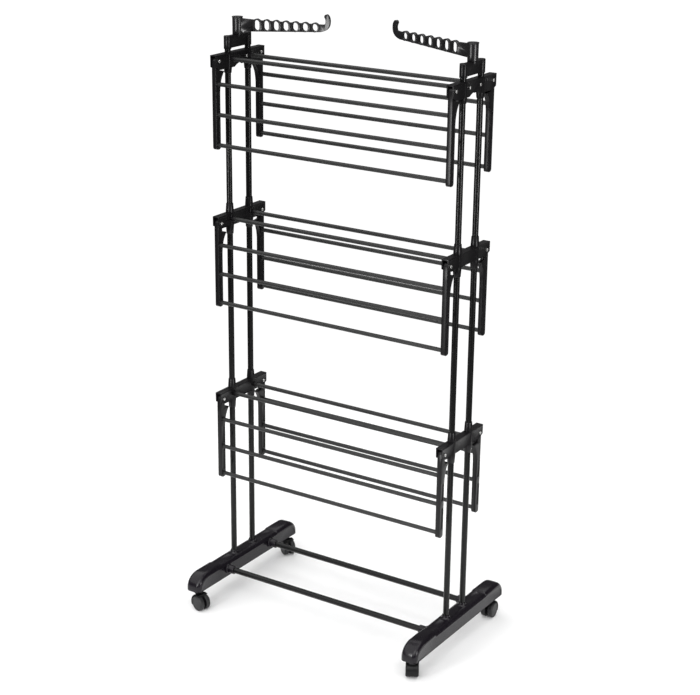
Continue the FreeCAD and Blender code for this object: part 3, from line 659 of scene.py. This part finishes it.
def makeCasterHousing():
    s = casterShape
    half = s["plateHalf"] + s["gap"] + s["wheelWidth"]
    centre = (s["trail"], -s["plateHalf"], s["radius"])
    plate = addDrum("housingPattern", s["radius"] - s["plateInset"], centre, 2 * s["plateHalf"], "Y", 64)
    softenEdges(plate, 0.0004, 2, 40)
    # the hood and the web under it are drums cut off behind the axle and near the floor
    hood = addDrum("hood", s["hoodOuter"], (s["trail"], -half, s["radius"]), 2 * half, "Y", 72)
    bevelEdges(hood, lambda a, b: abs(a.y - b.y) < 1e-6 and abs(abs(a.y) - half) < 1e-5,
               s["hoodRound"], 5)
    for side in (-1, 1):  # room for a wheel
        near, away = sorted([side * s["plateHalf"], side * 0.03])
        room = addDrum("room", s["hoodInner"], (s["trail"], near, s["radius"]), away - near, "Y", 72)
        combine(hood, [room], "DIFFERENCE")
    offcuts = [
        addBox("offcut", (s["trail"] + s["hoodPast"], -0.03, -0.01), (0.06, 0.03, 0.06)),
        addBox("offcut", (-0.03, -0.03, -0.02), (0.06, 0.03, s["hoodLow"])),
    ]
    combine(hood, offcuts, "DIFFERENCE")
    softenEdges(hood, 0.0006, 2, 50)
    neck = addDrum("neck", s["neckRadius"], (0, 0, s["neckLow"]), s["top"] - s["neckLow"], "Z", 48)
    bevelEdges(neck, lambda a, b: min(a.z, b.z) > s["top"] - 1e-5, 0.0008, 3)
    stem = addDrum("stem", s["stemRadius"], (0, 0, s["top"] - 0.002), s["stemLength"] + 0.002, "Z", 32)
    bevelEdges(stem, lambda a, b: min(a.z, b.z) > s["top"] + 0.02, 0.0010, 2)
    combine(plate, [hood, neck, stem])
    axle = addDrum("axleHole", s["axleRadius"], (s["trail"], -0.03, s["radius"]), 0.06, "Y", 32)
    combine(plate, [axle], "DIFFERENCE")
    return smoothOver(plate)


# Placing every piece

def rideOn(piece, body, slot, *replaced):
    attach(piece, body)
    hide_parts(*replaced)
    return piece


shown = {"gloss": [], "satin": [], "hanger": [], "zinc": [], "caster": [], "wheel": []}

foot = makeFoot()
for end, sign in ends.items():
    piece = copyOf(foot, "foot_" + end + "_shell", (sign * endX, 0, 0), flipX=sign < 0)
    shown["gloss"].append(rideOn(piece, "frame", "foot_plastic", "foot_" + end))
retire(foot)
print("feet done")

for tier in tiers:
    bracket = makeBracket("top" if tier == "top" else "middle")
    for end, sign in ends.items():
        name = tier + "_bracket_" + end
        piece = copyOf(bracket, name + "_moulding", (sign * endX, 0, tierZ[tier]), flipX=sign < 0)
        shown["satin"].append(rideOn(piece, "frame", "bracket_plastic", name))
    retire(bracket)
print("brackets done")

arm = makeWingArm()
rivet = makeRivet(0.00425, 0.0020, 0.0005, 0.0025)
rivets = []
for tier in tiers:
    for side, facing in sides.items():
        hinge = hinges[tier + "_" + side + "_wing_hinge"]
        for end, sign in ends.items():
            name = tier + "_" + side + "_arm_" + end
            place = (sign * endX, hinge.y, hinge.z)
            piece = copyOf(arm, name + "_moulding", place, flipX=sign < 0, flipY=facing < 0)
            shown["satin"].append(rideOn(piece, tier + "_" + side + "_wing", "wing_plastic", name))
            rivets.append(copyOf(rivet, "rivet", place))
retire(arm)
retire(rivet)
shown["zinc"].append(rideOn(joinTogether("hinge_rivets", rivets), "frame", "zinc_steel", "hinge_pins"))

bolt = makeBolt(0.00375, 0.0024, 0.0020)
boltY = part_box("bracket_bolts")[1].y - 0.00375
bolts = [copyOf(bolt, "bolt", (sign * endX, side * boltY, tierZ["top"])) for sign in (-1, 1) for side in (-1, 1)]
retire(bolt)
shown["zinc"].append(rideOn(joinTogether("bracket_screws", bolts), "frame", "zinc_steel", "bracket_bolts"))
print("wing arms, rivets and bolts done")

headBlock, hanger, cap = makeHead(), makeHangerArm(), makeCap()
hangerTurn = {"left": math.radians(7.4), "right": math.radians(166.75)}  # at rest, from +X
for end, sign in ends.items():
    place = (sign * endX, 0, tierZ["top"])
    piece = copyOf(headBlock, "head_" + end + "_moulding", place)
    shown["satin"].append(rideOn(piece, "frame", "bracket_plastic", "head_" + end))
    piece = copyOf(hanger, "hanger_" + end + "_moulding", place, hangerTurn[end])
    shown["hanger"].append(rideOn(piece, "hanger_" + end, "hanger_plastic", "hanger_arm_" + end))
    piece = copyOf(cap, "cap_" + end + "_moulding", place, hangerTurn[end])
    shown["hanger"].append(rideOn(piece, "hanger_" + end, "hanger_plastic", "hanger_cap_" + end))
for piece in (headBlock, hanger, cap):
    retire(piece)
print("heads and hanger arms done")

housing = makeCasterHousing()
wheels = joinTogether("wheelPattern", [makeCasterWheel(-1), makeCasterWheel(1)])
for end in ends:
    for side in sides:
        name = "caster_" + side + "_" + end
        pivot, axle = hinges[name + "_swivel_joint"], hinges[name + "_roll"]
        turn = math.atan2(axle.y - pivot.y, axle.x - pivot.x)
        piece = copyOf(housing, name + "_hood", (pivot.x, pivot.y, 0), turn)
        shown["caster"].append(rideOn(piece, name + "_swivel", "caster_plastic", name + "_housing"))
        piece = copyOf(wheels, name + "_wheel_mouldings", (pivot.x, pivot.y, 0), turn)
        shown["wheel"].append(rideOn(piece, name + "_wheel_pair", "wheel_plastic", name + "_wheels"))
retire(housing)
retire(wheels)
print("casters done")


# Finishes

class Wire:  # a socket that can stand in a sum
    def __init__(self, finish, socket):
        self.finish = finish
        self.socket = socket

    def __add__(self, other):
        return self.finish.maths("ADD", self, other)

    def __radd__(self, other):
        return self.finish.maths("ADD", other, self)

    def __sub__(self, other):
        return self.finish.maths("SUBTRACT", self, other)

    def __rsub__(self, other):
        return self.finish.maths("SUBTRACT", other, self)

    def __mul__(self, other):
        return self.finish.maths("MULTIPLY", self, other)

    def __rmul__(self, other):
        return self.finish.maths("MULTIPLY", other, self)


class Finish:
    def __init__(self, name, owner=None):  # the owner is a new material, unless the world is given
        self.owner = owner or bpy.data.materials.new(name)
        self.owner.use_nodes = True
        self.tree = self.owner.node_tree
        self.tree.nodes.clear()

    def node(self, kind, settings=None, inputs=None, output=0):
        made = self.tree.nodes.new(kind)
        for key, value in (settings or {}).items():
            if key == "stops":
                for index, (spot, shade) in enumerate(value):
                    stop = made.color_ramp.elements[index] if index < 2 else made.color_ramp.elements.new(spot)
                    stop.position = spot
                    stop.color = (shade, shade, shade, 1)
            else:
                setattr(made, key, value)
        for key, value in (inputs or {}).items():
            if isinstance(value, Wire):
                self.tree.links.new(value.socket, made.inputs[key])
            else:
                made.inputs[key].default_value = value
        return None if output is None else Wire(self, made.outputs[output])

    def maths(self, operation, first, second):
        return self.node("ShaderNodeMath", {"operation": operation}, {0: first, 1: second})

    def place(self, scale=(1, 1, 1)):
        coords = self.node("ShaderNodeTexCoord", output="Object")
        return self.node("ShaderNodeMapping", None, {"Vector": coords, "Scale": scale})

    def noise(self, place, size, detail=2.0, rough=0.5):  # size of the marks, in metres
        return self.node("ShaderNodeTexNoise", None,
                         {"Vector": place, "Scale": 1 / size, "Detail": detail, "Roughness": rough})

    def ramp(self, value, *stops):
        return self.node("ShaderNodeValToRGB", {"stops": stops}, {"Fac": value})

    def mixed(self, factor, first, second):
        return self.node("ShaderNodeMix", {"data_type": "RGBA"}, {0: factor, 6: (*first, 1), 7: (*second, 1)}, 2)

    def bump(self, height, distance, strength=1.0):
        return self.node("ShaderNodeBump", None, {"Height": height, "Distance": distance, "Strength": strength})

    def surface(self, **inputs):
        named = {key.replace("_", " "): value for key, value in inputs.items()}
        shader = self.node("ShaderNodeBsdfPrincipled", None, named)
        self.node("ShaderNodeOutputMaterial", None, {"Surface": shader}, None)
        return self.owner


def mouldedPlastic(name, deep, pale, gloss, grain, specular=0.5):
    f = Finish(name)
    place = f.place()
    flow = f.noise(place, 0.045, 3.0)
    texture = f.noise(place, 0.0007, 2.0, 0.6)
    scuff = f.ramp(f.noise(f.place((1, 1, 0.25)), 0.006, 4.0, 0.65), (0.56, 0.0), (0.72, 1.0))
    dust = f.ramp(f.noise(place, 0.018, 5.0, 0.6), (0.45, 0.0), (0.9, 1.0))
    return f.surface(
        Base_Color=f.mixed(flow * 0.7 + dust * 0.3, deep, pale),
        Roughness=gloss + flow * 0.06 + scuff * 0.05 + texture * 0.04,
        Normal=f.bump(texture + flow * 3.0, grain, 0.5),
        IOR=1.49, Specular_IOR_Level=specular)


def powderCoat(name, deep, pale, gloss, specular=0.5):
    f = Finish(name)
    place = f.place()
    peel = f.noise(place, 0.0016, 2.0, 0.5)
    speck = f.noise(place, 0.0005, 1.0, 0.5)
    drift = f.noise(place, 0.07, 2.0)
    return f.surface(
        Base_Color=f.mixed(drift * 0.6 + speck * 0.4, deep, pale),
        Roughness=gloss + peel * 0.10 + drift * 0.05,
        Normal=f.bump(peel + speck * 0.4, 0.00006, 0.6),
        IOR=1.5, Specular_IOR_Level=specular)


def platedSteel(name, deep, pale, gloss):
    f = Finish(name)
    place = f.place()
    cloud = f.noise(place, 0.004, 3.0, 0.6)
    lines = f.noise(f.place((1, 6, 6)), 0.0012, 2.0, 0.5)
    return f.surface(
        Base_Color=f.mixed(cloud, deep, pale),
        Metallic=1.0,
        Roughness=gloss + cloud * 0.12 + lines * 0.06,
        Normal=f.bump(lines, 0.00003, 0.4))


def wheelRubber(name, deep, pale):
    f = Finish(name)
    place = f.place()
    grit = f.noise(place, 0.0012, 4.0, 0.7)
    grime = f.ramp(f.noise(place, 0.008, 4.0, 0.6), (0.4, 0.0), (0.8, 1.0))
    return f.surface(
        Base_Color=f.mixed(grime * 0.6 + grit * 0.4, deep, pale),
        Roughness=0.42 + grit * 0.12 + grime * 0.08,
        Normal=f.bump(grit, 0.00012, 0.5),
        IOR=1.5)


finishes = {
    "gloss": mouldedPlastic("glossyBlackMoulding", (0.0042, 0.0030, 0.0052), (0.0072, 0.0054, 0.0088), 0.19, 0.00003, 0.33),
    "satin": mouldedPlastic("satinBlackMoulding", (0.0032, 0.0028, 0.0034), (0.0058, 0.0052, 0.0062), 0.27, 0.00005,
                            0.32),
    "hanger": mouldedPlastic("hangerBlackMoulding", (0.0050, 0.0046, 0.0054), (0.0085, 0.0080, 0.0090), 0.26, 0.00004,
                             0.75),
    "caster": mouldedPlastic("casterBlackMoulding", (0.0024, 0.0024, 0.0028), (0.0045, 0.0045, 0.0050), 0.30, 0.00004,
                             0.24),
    "zinc": platedSteel("brightZinc", (0.56, 0.56, 0.55), (0.74, 0.74, 0.72), 0.22),
    "wheel": wheelRubber("casterTread", (0.0040, 0.0040, 0.0048), (0.0080, 0.0080, 0.0090)),
}
for kind, pieces in shown.items():
    for piece in pieces:
        piece.data.materials.clear()
        piece.data.materials.append(finishes[kind])


def finishNodes(names, material):
    for name in names:
        for slot in nodes[name].material_slots:
            slot.material = material


tubeCoat = powderCoat("tubePowderCoat", (0.0036, 0.0037, 0.0037), (0.0064, 0.0065, 0.0064), 0.18, 0.26)
rodCoat = powderCoat("rodPowderCoat", (0.0085, 0.0087, 0.0086), (0.0135, 0.0138, 0.0136), 0.34)
coverPlastic = mouldedPlastic("coverPlastic", (0.0075, 0.0075, 0.0078), (0.0140, 0.0140, 0.0145), 0.45, 0.00008)
sections = ["lower_uprights_", "middle_uprights_", "upper_uprights_"]
finishNodes([section + end for section in sections for end in ends] + ["base_bars"], tubeCoat)
finishNodes([tier + "_fixed_rods" for tier in tiers], rodCoat)
finishNodes([tier + "_" + side + "_rods" for tier in tiers for side in sides], rodCoat)
finishNodes(["foot_cover_" + end for end in ends], coverPlastic)
finishNodes(["upright_joiners"], platedSteel("drawnSteel", (0.30, 0.30, 0.31), (0.44, 0.44, 0.45), 0.38))
finishNodes(["hanger_screws"], finishes["zinc"])
axles = ["caster_" + side + "_" + end + "_axle" for side in sides for end in ends]
finishNodes(axles, platedSteel("axleSteel", (0.42, 0.42, 0.43), (0.60, 0.60, 0.60), 0.28))
print("finishes done")


# Floor, light and camera

floorSize = 2.6  # small, so that only the low pieces reflect it


def makeFloor():
    clearSelection()
    bpy.ops.mesh.primitive_plane_add(size=floorSize, location=(0, 0, 0))
    floor = settle("studioFloor")
    f = Finish("paleFloor")
    mottle = f.noise(f.place(), 0.6, 3.0)
    floor.data.materials.append(f.surface(
        Base_Color=f.mixed(mottle, (0.90, 0.90, 0.90), (0.94, 0.94, 0.94)), Roughness=0.85, IOR=1.2))


def wideLight(name, aim, power, spread):  # a very wide soft box, as if far off, shining along aim
    lamp = bpy.data.lights.new(name, "SUN")
    lamp.energy = power
    lamp.angle = math.radians(spread)
    made = bpy.data.objects.new(name, lamp)
    made.rotation_euler = Vector(aim).to_track_quat("-Z", "Y").to_euler()
    bpy.context.scene.collection.objects.link(made)


stripShape = {"width": 0.25, "height": 0.9, "aim": (0, 0, 1.3)}


def stripLight(name, place, power):  # a tall narrow soft box that streaks the upright pieces
    lamp = bpy.data.lights.new(name, "AREA")
    lamp.shape = "RECTANGLE"
    lamp.size, lamp.size_y = stripShape["width"], stripShape["height"]
    lamp.energy = power
    made = bpy.data.objects.new(name, lamp)
    made.location = place
    facing = Vector(stripShape["aim"]) - Vector(place)
    made.rotation_euler = facing.to_track_quat("-Z", "Y").to_euler()
    made.visible_camera = False
    bpy.context.scene.collection.objects.link(made)


studioShades = {"backdrop": 1.05, "horizon": 0.14, "ceiling": 0.12, "ceilingFrom": 0.45}


def makeWorld():  # a white backdrop, and a dimmer room for what reflects in the rack
    world = bpy.data.worlds.new("studio")
    bpy.context.scene.world = world
    w = Finish("studio", world)
    direction = w.node("ShaderNodeTexCoord", output="Generated")
    height = w.node("ShaderNodeSeparateXYZ", None, {"Vector": direction}, "Z")
    room = w.ramp(height, (0.0, studioShades["horizon"]), (studioShades["ceilingFrom"], studioShades["ceiling"]))
    roomGlow = w.node("ShaderNodeBackground", None, {"Color": room})
    backdrop = w.node("ShaderNodeBackground", None, {"Color": (1, 1, 1, 1), "Strength": studioShades["backdrop"]})
    seen = w.node("ShaderNodeLightPath", output="Is Camera Ray")
    both = w.node("ShaderNodeMixShader", None, {0: seen, 1: roomGlow, 2: backdrop})
    w.node("ShaderNodeOutputWorld", None, {"Surface": both}, None)


cameraView = {"place": (2.3248, -3.5944, 2.2763), "aim": (0.0092, 0.0, 0.7827), "roll": 0.63, "lens": 87.85}


def makeCamera():
    camera = bpy.data.objects.new("camera", bpy.data.cameras.new("camera"))
    bpy.context.scene.collection.objects.link(camera)
    place, aim = Vector(cameraView["place"]), Vector(cameraView["aim"])
    facing = (aim - place).to_track_quat("-Z", "Y").to_matrix().to_4x4()
    camera.matrix_world = Matrix.Translation(place) @ facing @ Matrix.Rotation(
        math.radians(cameraView["roll"]), 4, "Z")
    camera.data.lens = cameraView["lens"]
    camera.data.clip_end = 200
    bpy.context.scene.camera = camera


makeFloor()
makeWorld()
wideLight("topLight", (0.12, 0.18, -1.0), 3.1, 110)
wideLight("frontLight", (-0.55, 1.0, -0.9), 0.9, 45)
stripLight("leftStrip", (-0.4, -2.6, 0.85), 24)
stripLight("rightStrip", (2.9, -0.6, 0.85), 24)
makeCamera()
bpy.context.scene.view_settings.view_transform = "Standard"
print("light and camera done")
